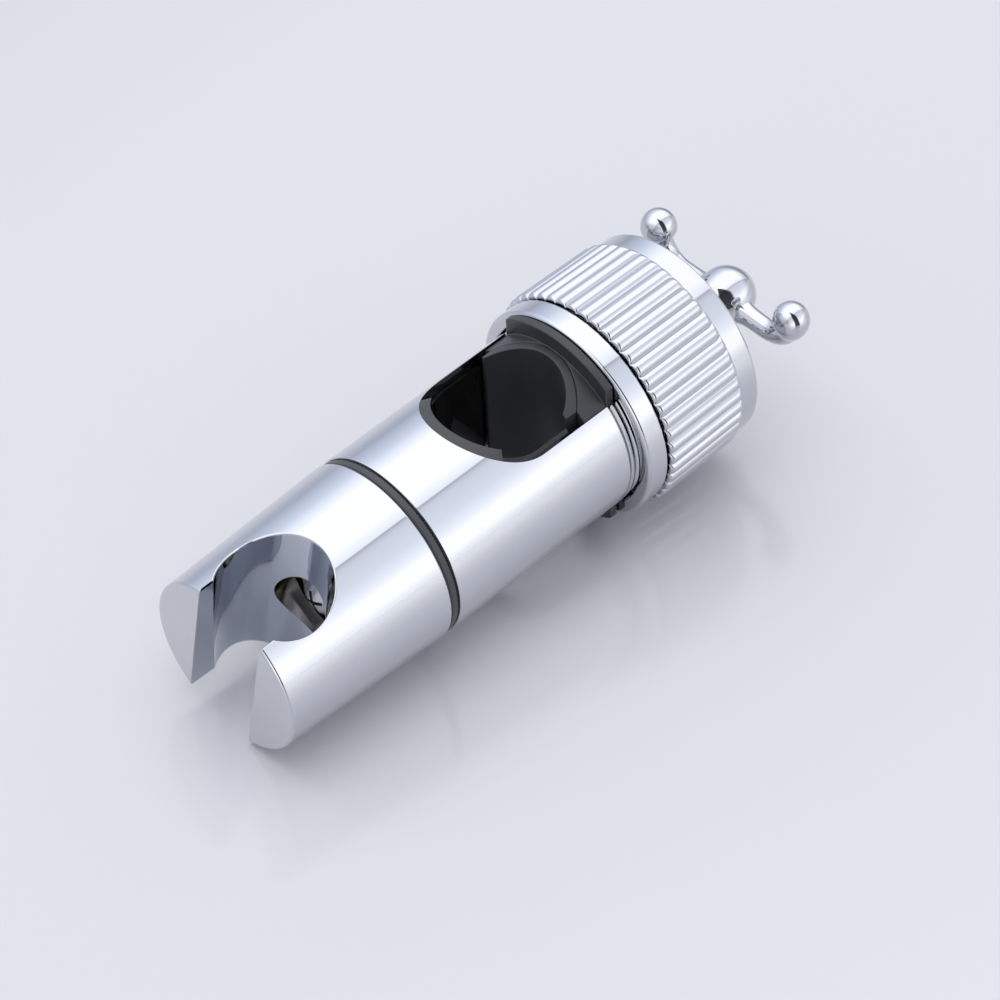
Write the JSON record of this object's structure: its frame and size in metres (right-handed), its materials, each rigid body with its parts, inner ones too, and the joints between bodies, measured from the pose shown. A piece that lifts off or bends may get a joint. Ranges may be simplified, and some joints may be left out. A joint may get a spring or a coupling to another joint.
{
  "type": "shower rail slider",
  "caption": "Chrome slider for a vertical shower rail: turning slotted handset holder, U-slot tube with a clamping pad, ribbed clamping knob and a two-armed hook.",
  "frame": {"origin": "centre of the rail's passage, on the rail's axis, halfway through the tube", "axes": "+Z along the rail, upwards in use; +Y along the tube, from the handset holder towards the knob; +X to the side"},
  "size_m": [0.0508, 0.1475, 0.0508],
  "materials": {
    "holder_chrome": "polished",
    "tube_chrome": "polished",
    "collar_chrome": "polished",
    "grip_chrome": "polished",
    "hook_chrome": "polished",
    "screw_steel": "plain turned",
    "spring_steel": "plain",
    "boss_brass": "turned",
    "liner_plastic": "smooth",
    "carrier_plastic": "fine satin",
    "ring_plastic": "satin",
    "bearing_plastic": "smooth",
    "pad_rubber": "satin",
    "seal_rubber": "smooth"
  },
  "bodies": {
    "body": {"body_tube": "tube_chrome", "swivel_boss": "boss_brass", "boss_pin": "screw_steel", "o_ring": "seal_rubber", "friction_ring": "ring_plastic", "rail_liner": "liner_plastic", "swivel_screw": "screw_steel", "screw_washer": "screw_steel"},
    "holder": {"handset_holder": "holder_chrome", "holder_bush": "bearing_plastic", "wave_washer": "spring_steel"},
    "clamp": {"clamp_carrier": "carrier_plastic", "clamp_pad": "pad_rubber", "thrust_washer": "bearing_plastic", "retaining_screw": "screw_steel", "retaining_washer": "screw_steel"},
    "knob": {"knob_collar": "collar_chrome", "knob_grip": "grip_chrome", "hook": "hook_chrome", "hook_screw": "screw_steel", "hook_washer": "screw_steel"}
  },
  "joints": [
    {"name": "holder_swivel", "type": "hinge", "parent": "body", "child": "holder", "pos_m": [0, -0.05, 0], "axis": [0, 1, 0], "continuous": true},
    {"name": "clamp_slide", "type": "slide", "parent": "body", "child": "clamp", "axis": [0, 1, 0], "range_m": [-0.003, 0.002]},
    {"name": "knob_turn", "type": "hinge", "parent": "clamp", "child": "knob", "pos_m": [0, 0.03, 0], "axis": [0, 1, 0], "range_deg": [-720, 480]}
  ],
  "couplings": [
    {"joint": "clamp_slide", "follows": "knob_turn", "m_per_rad": 0.00023873}
  ]
}
